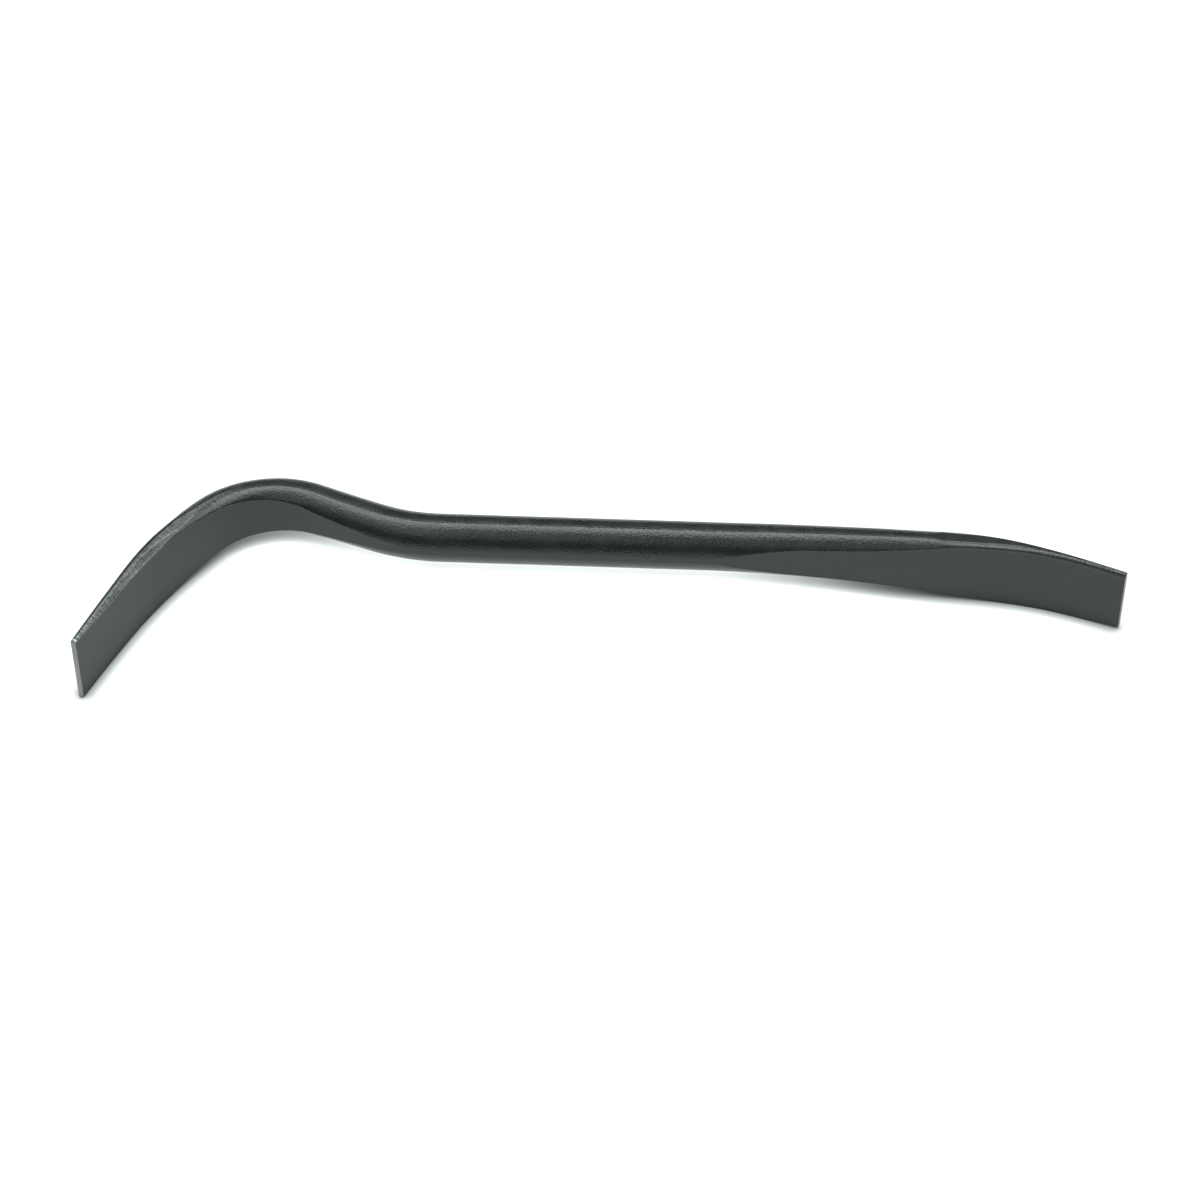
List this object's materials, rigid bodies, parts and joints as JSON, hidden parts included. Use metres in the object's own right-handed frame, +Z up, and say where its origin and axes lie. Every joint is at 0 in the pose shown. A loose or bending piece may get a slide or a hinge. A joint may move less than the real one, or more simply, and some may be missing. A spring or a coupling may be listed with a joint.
{
  "type": "pry bar",
  "caption": "Forged steel pry bar: straight round shank, set-back neck and heel with a hooked chisel blade, and a tapered straight chisel blade.",
  "frame": {"origin": "under the middle of the bar's box, on the surface it lies on", "axes": "+X along the straight shank from the hooked end to the straight blade; the bends lie in the XY plane and the hook opens towards -Y; +Z up, along the width of both blades"},
  "size_m": [0.3934, 0.1058, 0.0286],
  "materials": {
    "forged_steel": "satin black coated forging, faint forged grain on the round parts, paler ground narrow sides and tips"
  },
  "bodies": {
    "root": {"bar": "forged_steel"}
  },
  "joints": []
}
